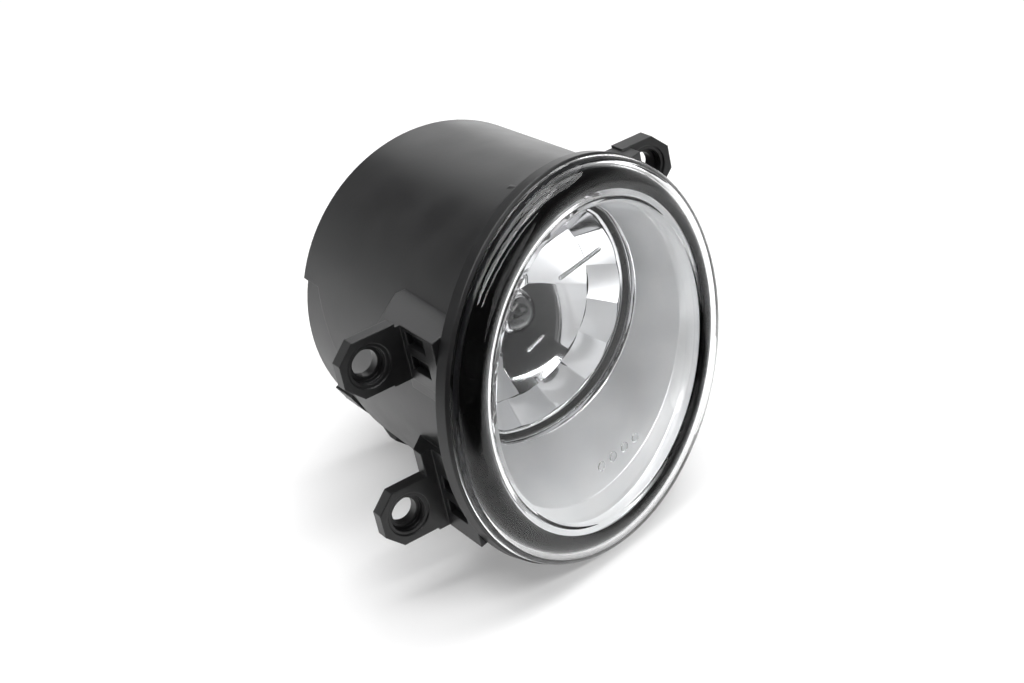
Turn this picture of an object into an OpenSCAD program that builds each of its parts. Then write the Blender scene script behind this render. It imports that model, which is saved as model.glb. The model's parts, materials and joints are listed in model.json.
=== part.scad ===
// Front fog light: a swept round lens on a barrel housing with three fixing ears.
// Origin: centre of the lens rim's rear edge. The light shines along -Y, +Z is up and
// +X is the outer side of the car. Lengths are millimetres.

/* [Lens] */
// Outer radius of the lens rim
lens_r = 48; // [46:0.5:50]
// Angle by which the lens plane is swept back from the beam axis
lens_sweep = 18; // [10:1:22]
// Height of the raised annulus above the rim edge
annulus_h = 5.4; // [4:0.2:7]
// Radius of the raised annulus's inner edge
annulus_inner_r = 39.8; // [38:0.2:41]
// Rise of the clear dome from its edge to its centre
dome_rise = 1.6; // [1:0.2:2]

/* [Housing] */
// Outer radius of the barrel level with the lens centre
barrel_r = 42.6; // [41:0.2:44]
// Taper of the barrel towards the rear, in degrees
barrel_draft = 1.4; // [0.5:0.1:2]
// Depth of the barrel's rear edge behind the lens centre
barrel_depth = 68; // [64:1:74]
// Wall thickness of the barrel
barrel_wall = 2.4; // [2:0.1:3]
// Radius of the flange that carries the lens
flange_r = 48.4; // [47:0.2:51]

/* [Ears] */
// Distance of the two left holes from the origin, along X
left_ear_x = 51.4; // [49:0.2:54]
// Spacing between the two left holes
left_ear_spacing = 39; // [36:0.5:42]
// Depth of the left ears' front faces
left_ear_y = 5.2; // [3:0.2:8]
// Distance of the right hole from the origin, along X
right_ear_x = 37.3; // [35:0.2:40]
// Height of the right hole above the origin
right_ear_z = 29.6; // [27:0.2:32]
// Depth of the right ear's front face
right_ear_y = 20; // [19:0.5:24]
// Radius of the fixing holes
ear_hole_r = 3.2; // [2.6:0.1:3.6]

/* [Optics] */
// Radius of the reflector's open front
reflector_r = 31; // [29:0.5:31.5]
// Focal length of the reflector
focal_length = 12.5; // [11:0.5:14]

/* [Hidden] */
$fn = 96;
// The beam axis is the barrel's axis, a little off the lens centre
axis_x = 1.2;
axis_z = 1.3;
hair = 0.02;
span = 200;

// Lens levels, measured square to the lens plane, rearwards from the rim edge
flange_front = 0.75;
flange_rear = 5.6;
groove_floor = 4.2;
groove_in_r = 45.2;
groove_out_r = 46.8;
clear_wall = 1.6;
dome_edge_h = -3.2;
dome_edge_r = annulus_inner_r - 2.6;
foot_fillet = 1;
annulus_wall = 1;
crest_r = 42;
arc_steps = 12;
ring_gap = 0.3;

// Bezel's front collar, which backs the annulus's inner wall
collar_in_r = annulus_inner_r + 0.8;
collar_out_r = annulus_inner_r + 1.5;
collar_top_h = -2.5;
bezel_top_h = 3.3;
ledge_front = bezel_top_h + 1.1;
bezel_flange_r = 44.1;
bezel_seat_r = bezel_flange_r + 0.3;

// Bezel and reflector stations along the beam axis
tunnel_end_y = 33.4;
tunnel_end_r = 33.2;
tunnel_slope = 0.11;
bezel_wall = 1.2;
bezel_gap = 0.3;
rim_y = 35;
shell = 2;
vertex_y = rim_y + reflector_r * reflector_r / (4 * focal_length);
focus_y = vertex_y - focal_length;
neck_r = 11;
pivot_y = focus_y;

// Rear wall and bulb socket
wall_y = 56.2;
wall_t = 2.4;
seat_y = focus_y + 25;
hub_r = 17.6;
socket_r = 9.75;
socket_t = 3.2;
seal_recess_r = 13.8;
seal_recess_h = 2;
lug_r = 11.5;
lug_width = 5;
glass_r = 5.6;
filament_l = 4.6;
glass_y = focus_y - 6;
running_gap = 0.05;

// Breather
vent_r = 3.2;
vent_end_y = 64;

// Pivot pins
pin_r = 1.5;
pin_tip_r = 31.6;
pin_end_r = 39;
post_r = 35.6;
bush_r = 2.4;
trunnion_r = 4.2;

// Aiming screw, below the bulb, and the nut it drives along the beam axis
screw_z = axis_z - 31;
thread_r = 2.5;
thread_end_y = 47.8;
journal_r = 3.25;
journal_y = 54.7;
screw_head_y = 62.2;
clip_y = 53.8;
clip_t = 0.7;
seal_floor_y = 58.8;
ball_r = 2.6;
ball_y = pivot_y;
nut_y = 45.2;
nut_length = 6.2;
arm_t = 4.4;
cup_r = 3.8;
guide_half = 4.6;
guide_end_y = 54.6;
boss_front_y = 47;

function barrel_at(y) = barrel_r - tan(barrel_draft) * y;
function tunnel_at(y) = tunnel_end_r + tunnel_slope * (tunnel_end_y - y);
function bowl_y(r) = vertex_y - r * r / (4 * focal_length);
function arc(cx, cy, rx, ry, from, to, steps) =
    [for (i = [0:steps]) let (a = from + (to - from) * i / steps)
        [cx + rx * cos(a), cy + ry * sin(a)]];
function dome(r, edge_h, rise) = edge_h - rise * (1 - pow(r / dome_edge_r, 2));

// Puts children, drawn with +Z rearwards, on the beam axis
module on_beam(y = 0) {
    translate([axis_x, y, axis_z]) rotate([-90, 0, 0]) children();
}

// Puts children, drawn with +Z rearwards, square to the swept lens plane
module on_lens() {
    rotate([0, 0, lens_sweep]) rotate([-90, 0, 0]) children();
}

module tube(outer, inner, from, to) {
    translate([0, 0, from]) difference() {
        cylinder(r = outer, h = to - from);
        translate([0, 0, -hair]) cylinder(r = inner, h = to - from + 2 * hair);
    }
}

// Everything in front of a plane square to the lens
module ahead_of(h) {
    on_lens() translate([-span / 2, -span / 2, h - span]) cube(span);
}

// ---------------------------------------------------------------- housing
module barrel_solid(inset, from, to) {
    on_beam(from) cylinder(r1 = barrel_at(from) - inset, r2 = barrel_at(to) - inset,
        h = to - from);
}

// Octagonal tab with a boss behind it, its front face at z = 0 and its root towards -X
ear_half = 7;
left_ear_t = 3.4;
boss_t = 5;
counterbore_r = 5.3;
module ear_plate(reach, thickness) {
    rotate([0, 0, 22.5]) cylinder(r = ear_half / cos(22.5), h = thickness, $fn = 8);
    translate([-reach, -ear_half, 0]) cube([reach, 2 * ear_half, thickness]);
    cylinder(r = counterbore_r, h = boss_t);
}

// Screw hole with three steps at its mouth, each [radius, depth]
hole_steps = [[counterbore_r, 0.4], [counterbore_r - 0.9, 1.2], [4.2, 2.4]];
module ear_hole() {
    translate([0, 0, -1]) cylinder(r = ear_hole_r, h = boss_t + 2);
    for (s = hole_steps) translate([0, 0, -1]) cylinder(r = s[0], h = s[1] + 1);
}

// One ear's place: side is -1 on the left, +1 on the right
module at_ear(x, y, z, side) {
    translate([side * x, y, z]) rotate([-90, 0, 0])
        mirror([side < 0 ? 1 : 0, 0, 0]) children();
}

left_ear_high_z = axis_z + left_ear_spacing / 2;
left_ear_low_z = axis_z - left_ear_spacing / 2;
bracket_x = 42.2;

// Box between the flange and an ear, drawn in plan and raised from low to high
module bracket(points, low, high) {
    translate([0, 0, low]) linear_extrude(height = high - low) polygon(points);
}

module left_brackets() {
    ear_back_y = left_ear_y + left_ear_t;
    bracket([[-30, -14], [-bracket_x, -14], [-bracket_x, left_ear_y],
        [-46.8, left_ear_y], [-46.8, ear_back_y], [-34.8, 19.9], [-30, 19.9]],
        left_ear_high_z - ear_half - 0.4, left_ear_high_z + ear_half - 0.8);
    // Shallow step under the upper bracket
    bracket([[-30, -14], [1 - bracket_x, -14], [1 - bracket_x, ear_back_y], [-30, ear_back_y]],
        left_ear_high_z - ear_half - 4.3, left_ear_high_z);
    bracket([[-30, -14], [-bracket_x, -14], [-bracket_x, left_ear_y],
        [-45, left_ear_y], [-45, ear_back_y], [-36, 17.5], [-30, 17.5]],
        left_ear_low_z - ear_half - 0.6, left_ear_low_z + ear_half + 6);
}

// Shallow moulded hollows in the brackets' outer faces, which leave ribs between them
pocket_depth = 1.6;
pocket_l = 7.8;
pocket_h = 3.6;
module bracket_pockets() {
    for (z = [left_ear_high_z - 4.2, left_ear_high_z + 1.8,
        left_ear_low_z - 3.2, left_ear_low_z + 3])
        translate([-bracket_x - 1, -4.6, z]) cube([pocket_depth + 1, pocket_l, pocket_h]);
}

right_ear_t = 4.4;
module right_bracket() {
    bracket_end_y = right_ear_y + right_ear_t - 0.6;
    bracket([[24, 14], [33.5, 14], [33.5, bracket_end_y], [24, bracket_end_y]],
        right_ear_z - ear_half + 2.4, right_ear_z + ear_half - 0.4);
}

// Where the outer wall's rear edge steps forward on the lower left: a slanting cut line
lip_t = 1.2;
skirt_cut = [[60, 17], [56, 11], [51, 3], [50, -4], [50, -50], [80, -50], [80, 17]];
module skirt_cutter() {
    intersection() {
        translate([-60, 0, 0]) rotate([90, 0, 90]) linear_extrude(height = 46)
            polygon(skirt_cut);
        difference() {
            barrel_solid(-10, 48, barrel_depth + 1);
            barrel_solid(lip_t, 47, barrel_depth + 2);
        }
    }
}

// Wedge foot and the stepped tabs on the rear edge, under the barrel's left side
module underside_feet() {
    on_beam() rotate([0, 0, -226]) translate([0, 3, 0]) rotate([90, 0, 0])
        linear_extrude(height = 6) polygon([[barrel_r - 4, 52], [barrel_r + 0.1, 52],
            [barrel_r + 0.1, 55], [barrel_r - 2, 64], [barrel_r - 4, 64]]);
    for (tab = [[207, 68.4], [214, 69.2]])
        on_beam(60) rotate([0, 0, -tab[0]]) translate([barrel_at(64) - 2.2, -2.4, 0])
            cube([1.8, 4.8, tab[1] - 60]);
}

module flange() {
    difference() {
        on_lens() rotate_extrude() polygon([[39.9, flange_front], [47.6, flange_front],
            [flange_r, flange_front + 0.6], [flange_r, flange_rear - 1.4],
            [flange_r - 1.6, flange_rear], [39.9, flange_rear]]);
        on_lens() tube(groove_out_r, groove_in_r, -1, groove_floor);
        on_lens() translate([0, 0, -1]) cylinder(r = bezel_seat_r, h = ledge_front + 1);
    }
}

bezel_screw_angles = [30, 150, 270];
bezel_screw_r = 41.2;
bezel_boss_r = 2.2;
screw_head_r = 2.1;
module at_bezel_screws() {
    for (a = bezel_screw_angles)
        on_lens() rotate([0, 0, a]) translate([bezel_screw_r, 0, 0]) children();
}

// Puts children, drawn with +Z rearwards, on the aiming screw's axis
module on_screw(y = 0) {
    translate([axis_x, y, screw_z]) rotate([-90, 0, 0]) children();
}

// Boss around the aiming screw, and the square guide that keeps its nut from turning
module aim_boss() {
    on_screw(boss_front_y) translate([-6.2, -6.2, 0])
        cube([12.4, 12.4, wall_y - boss_front_y + 1]);
    on_screw(wall_y) cylinder(r = 6.2, h = 5.2);
}
module aim_bore() {
    on_screw(boss_front_y - 1) translate([-guide_half, -guide_half, 0])
        cube([2 * guide_half, 2 * guide_half, guide_end_y - boss_front_y + 1]);
    on_screw(guide_end_y - 1) cylinder(r = journal_r + running_gap, h = 8);
    on_screw(seal_floor_y) cylinder(r = 4.6, h = 4);
}

// Puts children, drawn with +Z rearwards, on the breather's axis
module on_vent(y = 0) {
    translate([axis_x + 24, y, axis_z + 16]) rotate([-90, 0, 0]) children();
}
module vent_stub() {
    on_vent(wall_y) cylinder(r = vent_r, h = vent_end_y - wall_y);
}

module housing() {
    color([0.06, 0.06, 0.065]) difference() {
        union() {
            flange();
            difference() {
                union() {
                    barrel_solid(0, -20, barrel_depth);
                    left_brackets();
                    right_bracket();
                    at_ear(left_ear_x, left_ear_y, left_ear_high_z, -1)
                        ear_plate(8, left_ear_t);
                    at_ear(left_ear_x, left_ear_y, left_ear_low_z, -1)
                        ear_plate(8, left_ear_t);
                    at_ear(right_ear_x, right_ear_y, right_ear_z, 1)
                        ear_plate(6, right_ear_t);
                }
                ahead_of(flange_rear - 1);
                barrel_solid(barrel_wall, -20.1, wall_y);
                skirt_cutter();
            }
            underside_feet();
            at_bezel_screws() translate([0, 0, ledge_front])
                cylinder(r = bezel_boss_r, h = 9);
            aim_boss();
            for (side = [-1, 1])
                translate([axis_x + side * (post_r + 2.6), pivot_y, axis_z])
                    rotate([0, 90, 0]) cylinder(r = 4.4, h = 5.2, center = true);
        }
        // Room for the bezel's tunnel
        tunnel(bezel_wall + bezel_gap);
        // Rear cavity around the bulb socket
        difference() {
            barrel_solid(barrel_wall, wall_y + wall_t, barrel_depth + 0.1);
            on_beam(wall_y) cylinder(r = hub_r, h = seat_y - wall_y);
            aim_boss();
            vent_stub();
            for (a = [45, 135, 225, 315])
                on_beam(wall_y) rotate([0, 0, a]) translate([0, -1, 0])
                    cube([barrel_at(wall_y) - 1, 2, wall_t + 2]);
        }
        on_beam(wall_y - 1) cylinder(r = socket_r + 2.4,
            h = seat_y - seal_recess_h - socket_t - wall_y + 1);
        on_beam(wall_y - 1) cylinder(r = socket_r, h = 20);
        on_beam(seat_y - seal_recess_h) cylinder(r = seal_recess_r, h = 4);
        for (a = [90, 210, 330])
            on_beam(wall_y) rotate([0, 0, a]) translate([0, -lug_width / 2 - 0.4, 0])
                cube([lug_r + 0.4, lug_width + 0.8, 12]);
        bracket_pockets();
        at_ear(left_ear_x, left_ear_y, left_ear_high_z, -1) ear_hole();
        at_ear(left_ear_x, left_ear_y, left_ear_low_z, -1) ear_hole();
        at_ear(right_ear_x, right_ear_y, right_ear_z, 1) ear_hole();
        at_bezel_screws() translate([0, 0, ledge_front - 1]) cylinder(r = 1.1, h = 9);
        for (side = [-1, 1])
            translate([axis_x + side * (post_r - 1), pivot_y, axis_z])
                rotate([0, side * 90, 0]) cylinder(r = pin_r, h = pin_end_r - post_r + 1);
        aim_bore();
        on_vent(50) cylinder(r = 1.5, h = 16);
    }
}

// ---------------------------------------------------------------- lens group
module lens() {
    foot_r = dome_edge_r + foot_fillet;
    outer = concat(
        [for (i = [0:8]) let (r = dome_edge_r * i / 8) [r, dome(r, dome_edge_h, dome_rise)]],
        arc(dome_edge_r, dome_edge_h - foot_fillet, foot_fillet, foot_fillet, 60, 0, 3),
        [[annulus_inner_r, -annulus_h + 0.5]],
        arc(crest_r, -0.2, lens_r - crest_r, -annulus_h + 0.2, 105, 0, arc_steps));
    inner = concat(
        [[lens_r, 0.6], [46.5, 0.6], [46.5, 2.7], [45.5, 2.7], [45.5, 0.6]],
        arc(crest_r, -0.2, 3.9, -annulus_h + 1.6, 0, 114, arc_steps),
        [[foot_r + annulus_wall, -3], [foot_r + annulus_wall, dome_edge_h + clear_wall]],
        [for (i = [8:-1:0]) let (r = dome_edge_r * i / 8)
            [r, dome(r, dome_edge_h, dome_rise) + clear_wall]]);
    mark_h = dome(25, dome_edge_h, dome_rise) + clear_wall - 0.5;
    color([0.9, 0.93, 0.95, 0.4]) on_lens() {
        rotate_extrude() polygon(concat(outer, inner));
        // Plain moulded dots and a bar on the dome's inner face
        for (i = [0:3]) translate([4.5 * i - 7, -24, mark_h]) cylinder(r = 1.2, h = 0.9);
        translate([-8, 26, mark_h]) cube([15, 0.8, 0.9]);
    }
}

// Gloss ring under the annulus, with a lip that covers the bezel's collar
module lens_ring() {
    crest = arc(crest_r, -0.2, 3.9 - ring_gap, -annulus_h + 1.6 + ring_gap, 112, 0, arc_steps);
    lip_h = crest[0][1] + 0.55;
    profile = concat(
        [[collar_out_r + ring_gap, 1.4], [collar_out_r + ring_gap, lip_h + 0.3],
            [crest[0][0], lip_h]],
        crest,
        [[crest_r + 3.2, 0.2], [crest_r + 2.2, 0.6], [crest_r + 2.2, 2],
            [collar_out_r + 0.5, 2.2]]);
    color([0.02, 0.02, 0.02]) on_lens() rotate_extrude() polygon(profile);
}

module lens_adhesive() {
    color([0.25, 0.25, 0.25]) on_lens() tube(groove_out_r, groove_in_r, 2.7, groove_floor);
}

// ---------------------------------------------------------------- bezel
tunnel_from = -20;
module tunnel(offset_r) {
    on_beam(tunnel_from) cylinder(r1 = tunnel_at(tunnel_from) + offset_r,
        r2 = tunnel_end_r + offset_r, h = tunnel_end_y - tunnel_from);
}

module bezel() {
    color([0.75, 0.76, 0.78]) difference() {
        union() {
            difference() {
                tunnel(bezel_wall);
                ahead_of(bezel_top_h);
            }
            on_lens() tube(bezel_flange_r, 34, bezel_top_h, ledge_front);
            difference() {
                on_lens() tube(collar_out_r, collar_in_r, collar_top_h, bezel_top_h + 0.5);
                at_bezel_screws() translate([0, 0, bezel_top_h - 1.2])
                    cylinder(r = screw_head_r + 0.3, h = 2);
            }
        }
        tunnel(0);
        on_beam(tunnel_end_y - 1) cylinder(r = tunnel_end_r, h = 2);
        at_bezel_screws() translate([0, 0, bezel_top_h - 0.6]) cylinder(r = 1.4, h = 3);
    }
}

module bezel_screws() {
    color([0.7, 0.7, 0.72]) at_bezel_screws() {
        translate([0, 0, bezel_top_h - 0.9]) cylinder(r = screw_head_r, h = 0.9);
        translate([0, 0, bezel_top_h - 0.1]) cylinder(r = 1.1, h = 7.4);
    }
}

// ---------------------------------------------------------------- reflector
module reflector() {
    steps = 14;
    inner = [for (i = [0:steps]) let (r = neck_r + (reflector_r - neck_r) * i / steps)
        [r, bowl_y(r)]];
    outer = [for (i = [steps:-1:0]) let (r = neck_r + (reflector_r - neck_r) * i / steps)
        [r + (i == steps ? 0.8 : 0.6 + 1.2 * i / steps), bowl_y(r) + shell]];
    color([0.85, 0.86, 0.88]) difference() {
        union() {
            on_beam() rotate_extrude() polygon(concat(inner, outer));
            on_beam() tube(neck_r + 1.6, neck_r, bowl_y(neck_r), bowl_y(neck_r) + 3);
            for (side = [-1, 1])
                translate([axis_x + side * 30.5, pivot_y, axis_z]) rotate([0, 90, 0])
                    cylinder(r = trunnion_r, h = 7, center = true);
            translate([axis_x - 5, ball_y - arm_t / 2, screw_z - 5.4])
                cube([10, arm_t, 15]);
        }
        on_beam() rotate_extrude() polygon(concat([[0, rim_y - 2], [reflector_r, rim_y - 2]],
            [for (i = [steps:-1:0]) let (r = neck_r + (reflector_r - neck_r) * i / steps)
                [r, bowl_y(r)]], [[0, bowl_y(neck_r)]]));
        for (side = [-1, 1])
            translate([axis_x + side * 32, pivot_y, axis_z]) rotate([0, 90, 0])
                cylinder(r = bush_r, h = 8, center = true);
        on_screw(ball_y - arm_t) cylinder(r = cup_r, h = 2 * arm_t);
    }
}

module pivot_pins() {
    color([0.7, 0.7, 0.72]) for (side = [-1, 1])
        translate([axis_x + side * pin_tip_r, pivot_y, axis_z])
            rotate([0, side * 90, 0]) cylinder(r = pin_r, h = pin_end_r - pin_tip_r);
}

module pivot_bushes() {
    color([0.9, 0.9, 0.86]) for (side = [-1, 1])
        translate([axis_x + side * 29.8, pivot_y, axis_z]) rotate([0, side * 90, 0])
            difference() {
                cylinder(r = bush_r, h = 4.2);
                translate([0, 0, 1.2]) cylinder(r = pin_r + running_gap, h = 4);
            }
}

// ---------------------------------------------------------------- aiming
module aim_screw() {
    color([0.75, 0.75, 0.7]) on_screw() difference() {
        union() {
            translate([0, 0, thread_end_y]) cylinder(r = thread_r, h = 8);
            translate([0, 0, journal_y]) cylinder(r = journal_r, h = screw_head_y - journal_y);
            translate([0, 0, screw_head_y - 1.2]) cylinder(r = 4.5, h = 1.4);
            translate([0, 0, screw_head_y]) cylinder(r = 4.2, h = 3.4, $fn = 6);
        }
        // Cross slot for a screwdriver
        translate([-0.6, -2.6, screw_head_y + 1.6]) cube([1.2, 5.2, 3]);
        translate([-2.6, -0.6, screw_head_y + 1.6]) cube([5.2, 1.2, 3]);
        tube(3.4, 2.1, clip_y, clip_y + clip_t);
    }
}

module aim_screw_seal() {
    color([0.1, 0.1, 0.1]) on_screw() tube(4.5, journal_r + 0.02, seal_floor_y + 0.2,
        screw_head_y - 1.3);
}

module aim_screw_clip() {
    color([0.7, 0.7, 0.72]) on_screw() difference() {
        tube(4, 2.12, clip_y + 0.05, clip_y + clip_t - 0.05);
        translate([-0.9, 0, clip_y - 1]) cube([1.8, 6, 3]);
    }
}

// Square nut with a ball on a short neck, which pushes and pulls the reflector
module aim_nut() {
    color([0.85, 0.85, 0.8]) on_screw() difference() {
        union() {
            translate([-4.4, -4.4, nut_y]) cube([8.8, 8.8, nut_length]);
            translate([0, 0, ball_y]) cylinder(r = 1.5, h = nut_y - ball_y + 0.5);
            translate([0, 0, ball_y]) sphere(r = ball_r, $fn = 48);
        }
        translate([0, 0, nut_y + 0.8]) cylinder(r = thread_r + running_gap, h = 10);
    }
}

// Cup in the reflector's arm that snaps over the ball
module aim_socket() {
    color([0.95, 0.95, 0.95]) on_screw(ball_y) difference() {
        translate([0, 0, -arm_t / 2]) cylinder(r = cup_r, h = arm_t);
        translate([0, 0, -1.9]) cylinder(r = ball_r + 0.25, h = 3.8);
        translate([0, 0, -3]) cylinder(r = 2, h = 6);
    }
}

// ---------------------------------------------------------------- bulb
module bulb_ring() {
    color([0.8, 0.8, 0.82]) on_beam() difference() {
        union() {
            translate([0, 0, seat_y - 9]) cylinder(r = socket_r - running_gap, h = 9.4);
            for (a = [60, 180, 300])
                rotate([0, 0, a]) translate([0, -lug_width / 2, seat_y - 7])
                    cube([lug_r, lug_width, 1.6]);
        }
        translate([0, 0, seat_y - 8]) cylinder(r = 7.6, h = 12);
        translate([0, 0, seat_y - 10]) cylinder(r = glass_r + 0.05, h = 4);
    }
}

module bulb_base() {
    color([0.05, 0.05, 0.05]) on_beam() difference() {
        union() {
            translate([0, 0, seat_y - 8]) cylinder(r = 7.5, h = 9);
            translate([0, 0, seat_y + 0.6]) cylinder(r = 15.4, h = 2.6);
            translate([-8.5, -9, seat_y + 3]) cube([17, 18, 12]);
            translate([-9.5, 8, seat_y + 4]) cube([19, 15, 10.6]);
        }
        translate([-7.8, 12, seat_y + 5.6]) cube([15.6, 12, 7.4]);
    }
}

module bulb_seal() {
    color([0.45, 0.12, 0.08]) on_beam() tube(13.3, socket_r + 0.2, seat_y - 1.9, seat_y + 0.5);
}

module bulb_capsule() {
    color([0.95, 0.97, 1, 0.3]) on_beam() difference() {
        union() {
            translate([0, 0, glass_y]) cylinder(r = glass_r, h = seat_y - 8 - glass_y);
            translate([0, 0, glass_y]) sphere(r = glass_r, $fn = 48);
        }
        translate([0, 0, glass_y]) cylinder(r = glass_r - 0.9, h = 40);
        translate([0, 0, glass_y]) sphere(r = glass_r - 0.9, $fn = 48);
    }
}

module bulb_filament() {
    color([0.6, 0.6, 0.62]) on_beam(focus_y - filament_l / 2)
        cylinder(r = 0.8, h = filament_l);
}

// Two lead wires: a short one behind the filament, and a long one that reaches past it
module bulb_supports() {
    wire_end = seat_y - 8;
    half = filament_l / 2;
    color([0.7, 0.68, 0.62]) on_beam() {
        translate([0, 0, focus_y + half]) cylinder(r = 0.4, h = wire_end - focus_y - half);
        translate([2.4, 0, focus_y - half - 1])
            cylinder(r = 0.4, h = wire_end - focus_y + half + 1);
        translate([-0.4, -0.4, focus_y - half - 1]) cube([3, 0.8, 0.8]);
        translate([0, 0, focus_y - half - 0.6]) cylinder(r = 0.4, h = 0.6);
    }
}

module bulb_terminals() {
    color([0.8, 0.6, 0.3]) for (side = [-1, 1])
        translate([axis_x + side * 3.6 - 0.4, seat_y + 7.9, axis_z - 20]) cube([0.8, 2.8, 8]);
}

// ---------------------------------------------------------------- vent
module vent_cap() {
    color([0.08, 0.08, 0.08]) on_vent(vent_end_y - 3) difference() {
        cylinder(r = 5, h = 5.4);
        translate([0, 0, -1]) cylinder(r = vent_r, h = 5);
        for (a = [0:60:300])
            rotate([0, 0, a]) translate([2.6, -0.6, -1]) cube([4, 1.2, 3.4]);
    }
}

module vent_membrane() {
    color([0.95, 0.95, 0.95]) on_vent(vent_end_y) cylinder(r = vent_r - 0.1, h = 0.3);
}

housing();
lens();
lens_ring();
lens_adhesive();
bezel();
bezel_screws();
reflector();
pivot_pins();
pivot_bushes();
aim_screw();
aim_screw_seal();
aim_screw_clip();
aim_nut();
aim_socket();
bulb_base();
bulb_ring();
bulb_seal();
bulb_capsule();
bulb_filament();
bulb_supports();
bulb_terminals();
vent_cap();
vent_membrane();
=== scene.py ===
"""Looks of the front fog light: detailed meshes, materials, floor, lights and camera.

Shapes are given in millimetres and turned into metres by MM, in the CAD model's frame; the
floor, lights and camera are in metres. The lens group is square to the swept lens plane, and
the optics lie on the beam axis.
"""

import json
import math

import bmesh
import bpy
from mathutils import Matrix, Vector


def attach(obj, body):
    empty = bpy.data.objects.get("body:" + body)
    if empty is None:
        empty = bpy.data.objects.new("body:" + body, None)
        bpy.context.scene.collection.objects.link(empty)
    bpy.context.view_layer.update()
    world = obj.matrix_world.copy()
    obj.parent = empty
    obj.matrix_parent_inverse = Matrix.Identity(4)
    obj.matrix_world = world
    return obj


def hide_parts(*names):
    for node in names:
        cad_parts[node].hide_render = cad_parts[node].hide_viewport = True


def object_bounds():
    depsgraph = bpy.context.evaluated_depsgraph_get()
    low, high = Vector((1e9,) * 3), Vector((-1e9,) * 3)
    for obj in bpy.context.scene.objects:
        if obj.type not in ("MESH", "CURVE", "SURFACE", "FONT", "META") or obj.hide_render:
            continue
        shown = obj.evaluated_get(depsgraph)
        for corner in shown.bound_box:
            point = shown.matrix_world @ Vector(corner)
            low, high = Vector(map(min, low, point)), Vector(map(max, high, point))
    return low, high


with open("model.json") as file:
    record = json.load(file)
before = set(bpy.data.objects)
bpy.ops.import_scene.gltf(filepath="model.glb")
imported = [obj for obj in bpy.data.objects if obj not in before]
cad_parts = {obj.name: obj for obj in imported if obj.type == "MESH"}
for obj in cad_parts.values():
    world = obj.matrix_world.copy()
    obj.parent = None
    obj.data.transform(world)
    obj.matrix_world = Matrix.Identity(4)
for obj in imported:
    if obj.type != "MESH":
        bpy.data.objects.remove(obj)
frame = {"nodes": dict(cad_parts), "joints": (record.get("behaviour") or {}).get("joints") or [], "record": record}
cad_low, cad_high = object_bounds()

MM = 0.001
SIDES = 192  # points round a full circle
scene = bpy.context.scene
nodes = frame["nodes"]
mounts = {m["name"]: m for m in frame["record"]["mounts"]}
joints = {j["name"]: j for j in frame["joints"]}

# ------------------------------------------------------------------ frames of reference
UP = Vector((0, 0, 1))
lens_origin = Vector(mounts["lens_rim"]["pos_m"])
lens_rear = -Vector(mounts["lens_rim"]["axis"]).normalized()
lens_side = lens_rear.cross(UP).normalized()
beam_x, _, beam_z = joints["bulb_twist"]["pos_m"]
seat_y = joints["bulb_twist"]["pos_m"][1] / MM
focus_y = joints["reflector_tilt"]["pos_m"][1] / MM


def at_lens(r, angle, h):
    """Point at radius r and height h behind the lens plane, in millimetres and radians."""
    return (lens_origin + lens_side * (r * math.cos(angle) * MM)
            + UP * (r * math.sin(angle) * MM) + lens_rear * (h * MM))


def at_beam(r, angle, y):
    """Point at radius r from the beam axis and depth y, in millimetres and radians."""
    return Vector((beam_x + r * math.cos(angle) * MM, y * MM, beam_z + r * math.sin(angle) * MM))


def arc(centre_r, centre_h, radius_r, radius_h, start, end, steps):
    """Points of an elliptical arc, angles in degrees."""
    turns = [math.radians(start + (end - start) * i / steps) for i in range(steps + 1)]
    return [(centre_r + radius_r * math.cos(t), centre_h + radius_h * math.sin(t))
            for t in turns]


# ------------------------------------------------------------------ mesh helpers
def circle(place, r, h, sides=SIDES):
    """Ring of points; place turns a radius, an angle and a height into a point."""
    return [place(r, 2 * math.pi * i / sides, h) for i in range(sides)]


def add_loft(bm, rings, closed=True):
    """Joins rings of points, one after the other, into a skin."""
    rows = [[bm.verts.new(p) for p in ring] for ring in rings]
    pairs = list(zip(rows, rows[1:])) + ([(rows[-1], rows[0])] if closed else [])
    for a, b in pairs:
        for i in range(len(a)):
            j = (i + 1) % len(a)
            bm.faces.new((a[i], a[j], b[j], b[i]))


def finish_mesh(name, bm, material, body, bevel=0.0, sharp=35):
    """Turns bmesh data into a smooth-shaded piece that rides on a body."""
    bmesh.ops.remove_doubles(bm, verts=bm.verts, dist=1e-7)
    bmesh.ops.recalc_face_normals(bm, faces=bm.faces)
    mesh = bpy.data.meshes.new(name)
    bm.to_mesh(mesh)
    bm.free()
    mesh.shade_smooth()
    mesh.set_sharp_from_angle(angle=math.radians(sharp))
    piece = bpy.data.objects.new(name, mesh)
    scene.collection.objects.link(piece)
    mesh.materials.append(material)
    if bevel:
        modifier = piece.modifiers.new("edges", "BEVEL")
        modifier.width = bevel * MM
        modifier.segments = 3
        modifier.limit_method = "ANGLE"
        modifier.angle_limit = math.radians(sharp)
        modifier.harden_normals = True
    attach(piece, body)
    return piece


def revolved(name, place, profile, material, body, bevel=0.0):
    """A piece made by turning a closed profile of (radius, height) points round an axis."""
    bm = bmesh.new()
    add_loft(bm, [circle(place, r, h) for r, h in profile])
    return finish_mesh(name, bm, material, body, bevel)


# ------------------------------------------------------------------ material helpers
NOISE_LOW, NOISE_HIGH = 0.35, 0.65  # where most of a noise's values lie


def new_material(name):
    """A material with its node tree and its main shader."""
    material = bpy.data.materials.new(name)
    material.use_nodes = True
    return material, material.node_tree, material.node_tree.nodes["Principled BSDF"]


def math_node(tree, operation, first, second):
    """Result of an operation on two values, such as their product."""
    node = tree.nodes.new("ShaderNodeMath")
    node.operation = operation
    tree.links.new(first, node.inputs[0])
    tree.links.new(second, node.inputs[1])
    return node.outputs["Value"]


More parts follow.
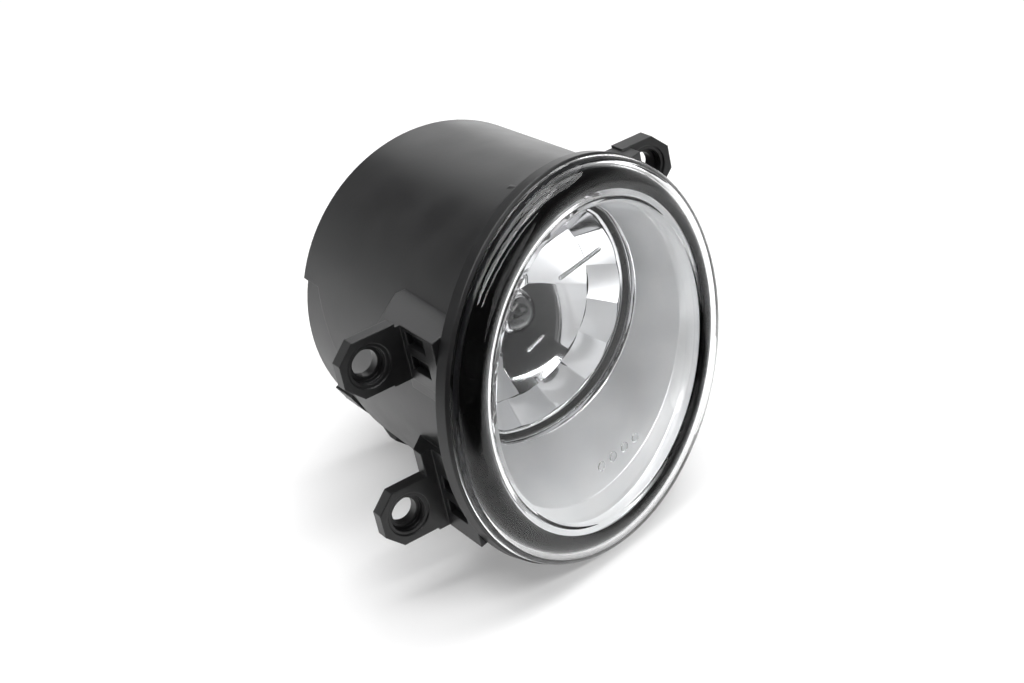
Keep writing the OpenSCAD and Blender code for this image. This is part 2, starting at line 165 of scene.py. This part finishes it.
def mixed(tree, fac, first, second):
    """Shader that goes from the first to the second as fac goes from 0 to 1."""
    mix = tree.nodes.new("ShaderNodeMixShader")
    tree.links.new(fac, mix.inputs["Fac"])
    tree.links.new(first, mix.inputs[1])
    tree.links.new(second, mix.inputs[2])
    return mix.outputs["Shader"]


def grain(tree, scale):
    """Noise over the piece's own coordinates; scale is features per metre."""
    place = tree.nodes.new("ShaderNodeTexCoord")
    noise = tree.nodes.new("ShaderNodeTexNoise")
    noise.inputs["Scale"].default_value = scale
    noise.inputs["Detail"].default_value = 3.0
    tree.links.new(place.outputs["Object"], noise.inputs["Vector"])
    return noise.outputs["Fac"]


def spread(tree, fac, low, high):
    """Maps the middle of a noise onto a range of values."""
    ramp = tree.nodes.new("ShaderNodeMapRange")
    ramp.inputs["From Min"].default_value = NOISE_LOW
    ramp.inputs["From Max"].default_value = NOISE_HIGH
    ramp.inputs["To Min"].default_value = low
    ramp.inputs["To Max"].default_value = high
    tree.links.new(fac, ramp.inputs["Value"])
    return ramp.outputs["Result"]


def tint(tree, fac, dark, light):
    """Mixes two colours by a noise."""
    ramp = tree.nodes.new("ShaderNodeValToRGB")
    ramp.color_ramp.elements[0].position = NOISE_LOW
    ramp.color_ramp.elements[0].color = (*dark, 1)
    ramp.color_ramp.elements[1].position = NOISE_HIGH
    ramp.color_ramp.elements[1].color = (*light, 1)
    tree.links.new(fac, ramp.inputs["Fac"])
    return ramp.outputs["Color"]


def bumped(tree, shader, scale, depth, edge=0.0):
    """Fine relief of a depth in millimetres, over edges rounded by a radius in millimetres."""
    bump = tree.nodes.new("ShaderNodeBump")
    bump.inputs["Distance"].default_value = depth * MM
    tree.links.new(grain(tree, scale), bump.inputs["Height"])
    if edge:
        rounded = tree.nodes.new("ShaderNodeBevel")
        rounded.samples = 6
        rounded.inputs["Radius"].default_value = edge * MM
        tree.links.new(rounded.outputs["Normal"], bump.inputs["Normal"])
    tree.links.new(bump.outputs["Normal"], shader.inputs["Normal"])


def surface(name, dark, light, rough, metallic=0.0, specular=0.5, patches=90, relief=None,
            edge=0.0):
    """Opaque material: colour and roughness vary by patches, relief is (scale, depth)."""
    material, tree, shader = new_material(name)
    fac = grain(tree, patches)
    tree.links.new(tint(tree, fac, dark, light), shader.inputs["Base Color"])
    tree.links.new(spread(tree, fac, *rough), shader.inputs["Roughness"])
    shader.inputs["Metallic"].default_value = metallic
    shader.inputs["Specular IOR Level"].default_value = specular
    if relief:
        bumped(tree, shader, *relief, edge)
    return material


def clear(name, ior, rough, tone):
    """Clear material that lets light through to what lies under it."""
    material, tree, shader = new_material(name)
    fac = grain(tree, 140)
    tree.links.new(tint(tree, fac, tone, (1, 1, 1)), shader.inputs["Base Color"])
    tree.links.new(spread(tree, fac, *rough), shader.inputs["Roughness"])
    shader.inputs["IOR"].default_value = ior
    shader.inputs["Transmission Weight"].default_value = 1.0
    path = tree.nodes.new("ShaderNodeLightPath")
    either = math_node(tree, "MAXIMUM", path.outputs["Is Shadow Ray"],
                       path.outputs["Is Diffuse Ray"])
    through = tree.nodes.new("ShaderNodeBsdfTransparent")
    mix = mixed(tree, either, shader.outputs["BSDF"], through.outputs["BSDF"])
    tree.links.new(mix, tree.nodes["Material Output"].inputs["Surface"])
    return material


MATERIALS = {
    "black_plastic": surface("moulded_black", (0.006, 0.006, 0.0065), (0.011, 0.011, 0.0115),
                             (0.37, 0.42), relief=(1400, 0.012), edge=0.45),
    "clear_lens": clear("clear_polycarbonate", 1.25, (0.0, 0.003), (0.97, 0.98, 0.985)),
    "gloss_black": surface("gloss_black", (0.002, 0.002, 0.002), (0.004, 0.004, 0.004),
                           (0.03, 0.06), specular=0.1, relief=(60, 0.001)),
    "sealant": surface("sealant", (0.12, 0.12, 0.13), (0.18, 0.18, 0.19), (0.5, 0.7),
                       relief=(500, 0.06), edge=0.2),
    "satin_silver": surface("satin_metallised", (0.84, 0.845, 0.85), (0.88, 0.885, 0.89),
                            (0.36, 0.44), metallic=0.6, relief=(2600, 0.003)),
    "zinc_steel": surface("zinc_plated", (0.55, 0.55, 0.5), (0.72, 0.72, 0.68), (0.25, 0.4),
                          metallic=1.0, relief=(900, 0.01), edge=0.15),
    "bright_reflector": surface("mirror_metallised", (0.86, 0.86, 0.87), (0.9, 0.9, 0.91),
                                (0.02, 0.05), metallic=1.0, relief=(160, 0.004)),
    "natural_nylon": surface("natural_nylon", (0.72, 0.7, 0.62), (0.8, 0.78, 0.7),
                             (0.35, 0.5), relief=(900, 0.01), edge=0.2),
    "black_rubber": surface("black_rubber", (0.02, 0.02, 0.02), (0.035, 0.035, 0.035),
                            (0.6, 0.8), relief=(1500, 0.02), edge=0.25),
    "bulb_plastic": surface("glass_filled_nylon", (0.025, 0.025, 0.027),
                            (0.04, 0.04, 0.042), (0.42, 0.6), relief=(1100, 0.02), edge=0.3),
    "bulb_steel": surface("stamped_steel", (0.6, 0.6, 0.6), (0.74, 0.74, 0.74),
                          (0.2, 0.35), metallic=1.0, relief=(700, 0.01), edge=0.15),
    "seal_rubber": surface("silicone", (0.36, 0.08, 0.045), (0.45, 0.11, 0.065),
                           (0.45, 0.6), relief=(900, 0.01), edge=0.2),
    "bulb_glass": clear("quartz", 1.46, (0.0, 0.01), (0.98, 0.985, 0.99)),
    "filament_metal": surface("tungsten", (0.3, 0.3, 0.3), (0.4, 0.4, 0.4), (0.3, 0.45),
                              metallic=1.0, relief=(3000, 0.005)),
    "terminal_brass": surface("tinned_brass", (0.72, 0.6, 0.35), (0.8, 0.72, 0.5),
                              (0.2, 0.35), metallic=1.0, relief=(900, 0.008), edge=0.1),
    "membrane_fabric": surface("membrane", (0.8, 0.8, 0.78), (0.9, 0.9, 0.88), (0.7, 0.85),
                               relief=(5000, 0.02)),
}


def dress_cad_nodes():
    """Gives every CAD node the material of its slot in the record."""
    for part in frame["record"]["subparts"]:
        mesh = nodes[part["node"]].data
        mesh.materials.clear()
        mesh.materials.append(MATERIALS[part["material_slot"]])


dress_cad_nodes()

# ------------------------------------------------------------------ lens group
LENS_R = mounts["lens_rim"]["dims"]["r_mm"] - 0.4
ANNULUS_H = 5.4  # how far the raised annulus stands in front of the lens plane
ANNULUS_IN_R = 39.8
DOME_R = ANNULUS_IN_R - 2.6
DOME_EDGE_H = -3.2
DOME_RISE = 1.6
CLEAR_WALL = 1.6
CREST_R = 42  # centre of the annulus's elliptical section
CREST_H = -0.2
CREST_HALF_R = 3.9  # half width of the section's inner face
FOOT_FILLET = 1
FLANGE_H = 0.6  # height of the housing's flange, which the lens lies on
TONGUE_R = (45.5, 46.5)  # tongue in the flange's groove
TONGUE_H = 2.7
DOTS = 4
DOT_PITCH = 4.5
DOTS_UP = -24
BAR_DOTS = 31
BAR_PITCH = 0.48
BAR_UP = 26


def dome_h(r):
    """Height of the clear dome's front face at radius r."""
    return DOME_EDGE_H - DOME_RISE * (1 - (r / DOME_R) ** 2)


def lens_profile():
    """Front face from the centre to the rim, then the rear face back to the centre."""
    steps = 20
    foot_r = DOME_R + FOOT_FILLET
    tongue_in, tongue_out = TONGUE_R
    radii = [DOME_R * i / steps for i in range(steps + 1)]
    front = [(r, dome_h(r)) for r in radii]
    front += arc(DOME_R, DOME_EDGE_H - FOOT_FILLET, FOOT_FILLET, FOOT_FILLET, 75, 0, 6)
    front += [(foot_r + 0.15, 0.95 - ANNULUS_H), (foot_r + 0.6, 0.72 - ANNULUS_H),
              (ANNULUS_IN_R, 0.45 - ANNULUS_H)]
    front += arc(CREST_R, CREST_H, LENS_R - CREST_R, 0.2 - ANNULUS_H, 105, 0, 28)
    rear = [(LENS_R, FLANGE_H - 0.15), (LENS_R - 0.15, FLANGE_H), (tongue_out, FLANGE_H),
            (tongue_out, TONGUE_H), (tongue_in, TONGUE_H), (tongue_in, FLANGE_H)]
    rear += arc(CREST_R, CREST_H, CREST_HALF_R, CLEAR_WALL - ANNULUS_H, 0, 114, 28)
    rear += [(foot_r + 1.1, -3), (foot_r + 0.9, -2), (foot_r + 0.5, -1.6)]
    rear += [(r, dome_h(r) + CLEAR_WALL) for r in reversed(radii)]
    return front + rear


def add_dot(bm, side, up, r, rise):
    """Low rounded dot on the dome's inner face, bulging rearwards."""
    base = dome_h(math.hypot(side, up)) + CLEAR_WALL

    def place(radius, angle, h):
        return (at_lens(0, 0, base + h) + lens_side * ((side + radius * math.cos(angle)) * MM)
                + UP * ((up + radius * math.sin(angle)) * MM))

    profile = [(0, -0.3), (r, -0.3)] + arc(0, 0, r, rise, 0, 90, 6)
    add_loft(bm, [circle(place, p, h, 32) for p, h in profile], closed=False)


def make_lens():
    """Clear lens with four plain dots and a plain bar moulded on its inner face."""
    bm = bmesh.new()
    add_loft(bm, [circle(at_lens, r, h) for r, h in lens_profile()], closed=False)
    for i in range(DOTS):
        add_dot(bm, DOT_PITCH * i - 7, DOTS_UP, 1.2, 0.4)
    for i in range(BAR_DOTS):  # they overlap into a bar
        add_dot(bm, BAR_PITCH * i - 7.2, BAR_UP, 0.5, 0.35)
    piece = finish_mesh("lens_clear", bm, MATERIALS["clear_lens"], "housing_body")
    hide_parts("lens")


def make_gloss_ring():
    """Black ring that follows the inner face of the lens's annulus at a small gap."""
    gap = 0.3
    crest = arc(CREST_R, CREST_H, CREST_HALF_R - gap, CLEAR_WALL + gap - ANNULUS_H, 112, 0, 28)
    inner_r, lip_h = crest[0][0], crest[0][1] + 0.55
    wall_r = ANNULUS_IN_R + 1.5 + gap
    profile = [(wall_r, 1.4), (wall_r, lip_h + 0.3), (inner_r, lip_h)] + crest
    profile += [(CREST_R + 3.2, 0.2), (CREST_R + 2.2, 0.6), (CREST_R + 2.2, 2),
                (ANNULUS_IN_R + 2, 2.2)]
    piece = revolved("ring_gloss", at_lens, profile, MATERIALS["gloss_black"],
                     "housing_body", bevel=0.12)
    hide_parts("lens_ring")


make_lens()
make_gloss_ring()

# ------------------------------------------------------------------ bezel
TUNNEL_END_Y = 33.4
TUNNEL_END_R = 33.2
TUNNEL_SLOPE = 0.11
BEZEL_TOP_H = 3.3
BEZEL_REAR_H = 4.4
BEZEL_WALL = 1.2
BEZEL_FLANGE_R = 44.1
COLLAR_R = (ANNULUS_IN_R + 0.8, ANNULUS_IN_R + 1.5)
COLLAR_TOP_H = -2.5
COLLAR_CHAMFER = 0.15
BEAD_LENGTH = 2.6
BEAD_STEPS = 8


def tunnel_r(y):
    """Radius of the tapering tunnel at depth y."""
    return TUNNEL_END_R + TUNNEL_SLOPE * (TUNNEL_END_Y - y)


def tunnel_front_y(angle, h, offset):
    """Depth at which the tunnel's wall meets the plane at height h behind the lens plane."""
    mouth_r = tunnel_r(0) + offset
    sweep_sin, sweep_cos = -lens_rear.x, lens_rear.y
    across = beam_x / MM + mouth_r * math.cos(angle)
    return (h + sweep_sin * across) / (sweep_cos + sweep_sin * TUNNEL_SLOPE * math.cos(angle))


def tunnel_ring(share, h, offset):
    """Ring on the tunnel's wall, a share of the way from the plane at h to its rear end."""
    ring = []
    for i in range(SIDES):
        angle = 2 * math.pi * i / SIDES
        front_y = tunnel_front_y(angle, h, offset)
        y = front_y + (TUNNEL_END_Y - front_y) * share
        ring.append(at_beam(tunnel_r(y) + offset, angle, y))
    return ring


def make_bezel():
    """Tunnel between the lens and the reflector, its collar in front and its flange."""
    steps = 24
    collar_in, collar_out = COLLAR_R
    shoulder_h = COLLAR_TOP_H + 0.3
    rings = [tunnel_ring(i / steps, BEZEL_TOP_H, 0) for i in range(steps, -1, -1)]
    profile = [(collar_in - 0.9, BEZEL_TOP_H - 2), (collar_in - 0.2, BEZEL_TOP_H - 4),
               (collar_in, shoulder_h), (collar_in + COLLAR_CHAMFER, COLLAR_TOP_H),
               (collar_out - COLLAR_CHAMFER, COLLAR_TOP_H), (collar_out, shoulder_h),
               (collar_out, BEZEL_TOP_H), (BEZEL_FLANGE_R, BEZEL_TOP_H),
               (BEZEL_FLANGE_R, BEZEL_REAR_H)]
    rings += [circle(at_lens, r, h) for r, h in profile]
    rings += [tunnel_ring(i / steps, BEZEL_REAR_H, BEZEL_WALL) for i in range(0, steps + 1, 4)]
    bm = bmesh.new()
    add_loft(bm, rings)
    piece = finish_mesh("bezel_satin", bm, MATERIALS["satin_silver"], "housing_body",
                        bevel=0.2)
    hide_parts("bezel")


def make_bezel_bead():
    """Polished band inside the tunnel's rear end."""
    rise, crown, root = 0.12, 0.16, 0.6
    rear_y = TUNNEL_END_Y - 0.05
    front_y = TUNNEL_END_Y - BEAD_LENGTH
    profile = [(tunnel_r(TUNNEL_END_Y) + root, rear_y), (tunnel_r(TUNNEL_END_Y) - rise, rear_y)]
    for i in range(BEAD_STEPS + 1):
        y = TUNNEL_END_Y - 0.1 - (BEAD_LENGTH - 0.3) * i / BEAD_STEPS
        profile.append((tunnel_r(y) - rise - crown * math.sin(math.pi * i / BEAD_STEPS), y))
    profile += [(tunnel_r(front_y) + 0.1, front_y), (tunnel_r(front_y) + root, front_y)]
    revolved("bezel_bead", at_beam, profile, MATERIALS["bright_reflector"], "housing_body")


make_bezel()
make_bezel_bead()

# ------------------------------------------------------------------ reflector and bulb
REFLECTOR_R = 31
RIM_Y = 35
FOCAL = 12.5
VERTEX_Y = focus_y + FOCAL
HOLE_R = 7.2  # hole for the bulb's capsule
ZONE_R = 25.5  # where the inner facets end and the outer ones begin
ZONE_STEP = 0.25  # how far the outer facets stand in front of the inner ones
INNER_FACETS = 9
INNER_SHIFT = 0.3  # turns the inner facets by this share of one facet
OUTER_FACETS = 18
FACET_DEPTH = 0.6
SKIN = 0.15  # least height of the facets over the CAD bowl


def bowl_y(r):
    """Depth of the CAD reflector's parabola at radius r."""
    return VERTEX_Y - r * r / (4 * FOCAL)


def facet_rise(r, angle):
    """How far a pillow-shaped facet stands off the bowl at this place, in millimetres."""
    count, shift = (INNER_FACETS, INNER_SHIFT) if r < ZONE_R else (OUTER_FACETS, 0)
    share = (angle / (2 * math.pi) * count + shift) % 1
    return FACET_DEPTH * (1 - (2 * share - 1) ** 2) * (r / REFLECTOR_R)


def make_facets():
    """Bright skin of pillow facets on the CAD bowl."""
    sides = 560
    seam = 0.02  # half the gap between the two zones
    inner_steps, outer_steps = 14, 12
    inner_span = ZONE_R - seam - HOLE_R
    outer_span = REFLECTOR_R - 0.15 - ZONE_R - seam
    radii = [HOLE_R + inner_span * i / inner_steps for i in range(inner_steps + 1)]
    radii += [ZONE_R + seam + outer_span * i / outer_steps for i in range(outer_steps + 1)]
    turns = [2 * math.pi * i / sides for i in range(sides)]
    rings = []
    for r in radii:
        base = bowl_y(r) - SKIN - (0.0 if r < ZONE_R else ZONE_STEP)
        rings.append([at_beam(r, t, base - facet_rise(r, t)) for t in turns])
    rings += [circle(at_beam, r, bowl_y(r) - 0.05, sides) for r in reversed(radii)]
    bm = bmesh.new()
    add_loft(bm, rings)
    finish_mesh("reflector_facets", bm, MATERIALS["bright_reflector"], "reflector_body",
                sharp=9)


def make_reflector_lip():
    """Rolled edge round the reflector's open front."""
    profile = arc(REFLECTOR_R + 0.75, RIM_Y + 0.1, 0.65, 0.75, 0, 345, 23)
    revolved("reflector_lip", at_beam, profile, MATERIALS["bright_reflector"],
             "reflector_body")


def make_filament():
    """Coiled tungsten wire, in place of the CAD solid."""
    length, coil_r, wire_r, turns = 4.6, 0.7, 0.1, 11
    steps = turns * 16
    curve = bpy.data.curves.new("filament_coil", "CURVE")
    curve.dimensions = "3D"
    curve.bevel_depth = wire_r * MM
    curve.bevel_resolution = 3
    curve.use_fill_caps = True
    line = curve.splines.new("POLY")
    line.points.add(steps)
    for i, point in enumerate(line.points):
        angle = 2 * math.pi * turns * i / steps
        place = at_beam(coil_r, angle, focus_y - length / 2 + length * i / steps)
        point.co = (*place, 1)
    curve.materials.append(MATERIALS["filament_metal"])
    piece = bpy.data.objects.new("filament_coil", curve)
    scene.collection.objects.link(piece)
    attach(piece, "bulb_body")
    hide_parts("bulb_filament")


def add_box(bm, low, high):
    """Box between two corners given as (aside, depth, up) from the bulb's seat, in mm."""
    made = bmesh.ops.create_cube(bm, size=1)
    seat = Vector((beam_x, seat_y * MM, beam_z))
    for vert in made["verts"]:
        share = vert.co + Vector((0.5, 0.5, 0.5))
        vert.co = seat + Vector([(a + (b - a) * t) * MM for a, b, t in zip(low, high, share)])


def make_bulb_details():
    """Grip ribs on the bulb's base; a latch step and an end plate on its connector shroud."""
    back, rib_half = 15, 0.5
    bm = bmesh.new()
    for i in range(5):  # ribs across the back
        up = -4 + 2.6 * i
        add_box(bm, (-6.5, back - 0.2, up - rib_half), (6.5, back, up + rib_half))
    for side in (-1, 1):
        for i in range(4):  # ribs up each side
            depth = 5.5 + 2.4 * i
            add_box(bm, (side * 8.3, depth - rib_half, -6), (side * 9.1, depth + rib_half, 7))
    add_box(bm, (-3, back - 0.6, -20), (3, back, -16.5))  # latch step
    add_box(bm, (-9.9, 3.8, -23), (9.9, back - 0.2, -21.8))  # end plate
    finish_mesh("bulb_grip", bm, MATERIALS["bulb_plastic"], "bulb_body",
                bevel=0.18)


make_facets()
make_reflector_lip()
make_filament()
make_bulb_details()

# ------------------------------------------------------------------ floor and backdrop
FLOOR_UP = Vector((0.144, -0.140, 0.979)).normalized()
FLOOR_DROP = 0.0487  # distance from the origin down to the floor the light lies on
DARK_SIDE = Vector((-0.55, -0.83, 0)).normalized()  # the studio's unlit side, in front
SWEEP_END = 0.12  # how far towards the unlit side the floor shows lit in reflections; past it is a painted dark reflection
SWEEP_FADE = 0.06
# colour of the painted dark reflection: a near-black glow that only reflections see on the floor ahead
PAINTED_REFLECTION_DARK = (0.01, 0.01, 0.01)
WHITE_FROM_TO = (0.22, 0.5)  # distances from the origin between which the floor turns white
WHITE = (1, 1, 1)
FLOOR_HALF = 6.0
FLOOR_GLOW = 0.3
HORIZON_TONE = (0.62, 0.62, 0.62)
CEILING_TONE = (0.05, 0.05, 0.052)


def glowing(tree, shader, measure, start, end, ray, colour):
    """Turns a shader into an even glow as measure goes from start to end, for one kind of ray."""
    past = tree.nodes.new("ShaderNodeMapRange")
    past.inputs["From Min"].default_value = start
    past.inputs["From Max"].default_value = end
    tree.links.new(measure, past.inputs["Value"])
    path = tree.nodes.new("ShaderNodeLightPath")
    fac = math_node(tree, "MULTIPLY", past.outputs["Result"], path.outputs[ray])
    glow = tree.nodes.new("ShaderNodeEmission")
    glow.inputs["Color"].default_value = (*colour, 1)
    return mixed(tree, fac, shader, glow.outputs["Emission"])


def along(tree, vector, direction):
    """How far a vector output reaches in a direction."""
    reach = tree.nodes.new("ShaderNodeVectorMath")
    reach.operation = "DOT_PRODUCT"
    reach.inputs[1].default_value = direction
    tree.links.new(vector, reach.inputs[0])
    return reach.outputs["Value"]


def painted_dark_reflection_ahead(tree, shader):
    """Painted dark reflection: a little in front of the light the floor, though lit, turns to a near-black glow
    that only glossy rays see, so reflections of it are dark.
    """
    place = tree.nodes.new("ShaderNodeNewGeometry")
    ahead = along(tree, place.outputs["Position"], DARK_SIDE)
    return glowing(tree, shader, ahead, SWEEP_END, SWEEP_END + SWEEP_FADE, "Is Glossy Ray",
                   PAINTED_REFLECTION_DARK)


def white_far_away(tree, shader):
    """Far from the object the floor runs into the white backdrop, as the camera sees it."""
    place = tree.nodes.new("ShaderNodeNewGeometry")
    far = tree.nodes.new("ShaderNodeVectorMath")
    far.operation = "LENGTH"
    tree.links.new(place.outputs["Position"], far.inputs[0])
    return glowing(tree, shader, far.outputs["Value"], *WHITE_FROM_TO, "Is Camera Ray", WHITE)


def make_floor():
    """White surface the light lies on; from below it can be seen through."""
    mesh = bpy.data.meshes.new("floor")
    turn = FLOOR_UP.to_track_quat("Z", "Y").to_matrix()
    corners = [(-1, -1), (1, -1), (1, 1), (-1, 1)]
    points = [turn @ Vector((x * FLOOR_HALF, y * FLOOR_HALF, 0)) - FLOOR_UP * FLOOR_DROP
              for x, y in corners]
    mesh.from_pydata(points, [], [(0, 1, 2, 3)])
    floor = bpy.data.objects.new("floor", mesh)
    scene.collection.objects.link(floor)
    material, tree, shader = new_material("pale_floor")
    tree.links.new(tint(tree, grain(tree, 12), (0.6, 0.6, 0.6), (0.63, 0.63, 0.63)),
                   shader.inputs["Base Color"])
    shader.inputs["Roughness"].default_value = 0.8
    shader.inputs["Specular IOR Level"].default_value = 0.2
    shader.inputs["Emission Color"].default_value = (*WHITE, 1)
    shader.inputs["Emission Strength"].default_value = FLOOR_GLOW
    # painted dark reflection on the floor ahead; far away the floor turns white for the camera
    top = white_far_away(tree, painted_dark_reflection_ahead(tree, shader.outputs["BSDF"]))
    facing = tree.nodes.new("ShaderNodeNewGeometry")
    through = tree.nodes.new("ShaderNodeBsdfTransparent")
    mix = mixed(tree, facing.outputs["Backfacing"], top, through.outputs["BSDF"])
    tree.links.new(mix, tree.nodes["Material Output"].inputs["Surface"])
    mesh.materials.append(material)


def make_world():
    """White to the camera; to the object a bright horizon, a dim ceiling and an unlit side."""
    world = bpy.data.worlds.new("studio")
    scene.world = world
    world.use_nodes = True
    tree = world.node_tree
    tree.nodes.clear()
    place = tree.nodes.new("ShaderNodeTexCoord")
    ramp = tree.nodes.new("ShaderNodeValToRGB")
    ramp.color_ramp.elements[0].position = 0.12
    ramp.color_ramp.elements[0].color = (*HORIZON_TONE, 1)
    ramp.color_ramp.elements[1].position = 0.4
    ramp.color_ramp.elements[1].color = (*CEILING_TONE, 1)
    tree.links.new(along(tree, place.outputs["Generated"], FLOOR_UP), ramp.inputs["Fac"])
    level = tree.nodes.new("ShaderNodeMapRange")
    level.inputs["From Min"].default_value = -0.1
    level.inputs["From Max"].default_value = 0.35
    level.inputs["To Min"].default_value = 1.0
    level.inputs["To Max"].default_value = 0.06
    tree.links.new(along(tree, place.outputs["Generated"], DARK_SIDE), level.inputs["Value"])
    studio = tree.nodes.new("ShaderNodeBackground")
    tree.links.new(ramp.outputs["Color"], studio.inputs["Color"])
    tree.links.new(level.outputs["Result"], studio.inputs["Strength"])
    white = tree.nodes.new("ShaderNodeBackground")
    white.inputs["Color"].default_value = (*WHITE, 1)
    path = tree.nodes.new("ShaderNodeLightPath")
    mix = mixed(tree, path.outputs["Is Camera Ray"], studio.outputs["Background"],
                white.outputs["Background"])
    output = tree.nodes.new("ShaderNodeOutputWorld")
    tree.links.new(mix, output.inputs["Surface"])


def away_from(azimuth, elevation):
    """Unit vector out towards an azimuth from the front and an elevation, in radians."""
    return Vector((math.sin(azimuth) * math.cos(elevation),
                   -math.cos(azimuth) * math.cos(elevation), math.sin(elevation)))


def add_light(name, azimuth, elevation, distance, width, height, watts):
    """Soft rectangular light that faces the lamp, placed by degrees and metres."""
    away = away_from(math.radians(azimuth), math.radians(elevation))
    data = bpy.data.lights.new(name, "AREA")
    data.shape = "RECTANGLE"
    data.size, data.size_y = width, height
    data.energy = watts
    light = bpy.data.objects.new(name, data)
    scene.collection.objects.link(light)
    centre = (cad_low + cad_high) / 2
    light.location = centre + away * distance
    across = UP.cross(away).normalized()
    turn = Matrix((across, away.cross(across), away)).transposed()
    light.rotation_euler = turn.to_euler()


make_floor()
make_world()
add_light("overhead", 0, 88, distance=1.0, width=1.5, height=0.34, watts=12)
add_light("front_strip", 5, 56, distance=1.0, width=1.1, height=0.1, watts=5)
add_light("top_right", 95, 55, distance=1.3, width=0.9, height=0.9, watts=8)
add_light("right_rear", 138, 2, distance=1.2, width=0.5, height=0.24, watts=1.2)
add_light("rear", 156, 22, distance=1.2, width=0.5, height=0.2, watts=0.8)
add_light("front_card", 30, 10, distance=1.0, width=0.5, height=0.4, watts=0.8)


# ------------------------------------------------------------------ camera
def make_camera():
    """Camera from the front left and above, moved a little to the left and up, and rolled."""
    azimuth, elevation, roll = (math.radians(d) for d in (-26.94, 27.14, -12.81))
    distance, aside, below = 0.4575, 0.01815, 0.00454
    back = away_from(azimuth, elevation)
    level = Vector((math.cos(azimuth), math.sin(azimuth), 0))
    rise = back.cross(level)
    right = level * math.cos(roll) + rise * math.sin(roll)
    up = rise * math.cos(roll) - level * math.sin(roll)
    data = bpy.data.cameras.new("camera")
    data.lens = 69.43
    data.sensor_width = 36
    camera = bpy.data.objects.new("camera", data)
    scene.collection.objects.link(camera)
    axes = Matrix((right, up, back)).transposed().to_4x4()
    place = back * distance - right * aside + up * below
    camera.matrix_world = Matrix.Translation(place) @ axes
    scene.camera = camera


make_camera()
scene.view_settings.view_transform = "Standard"
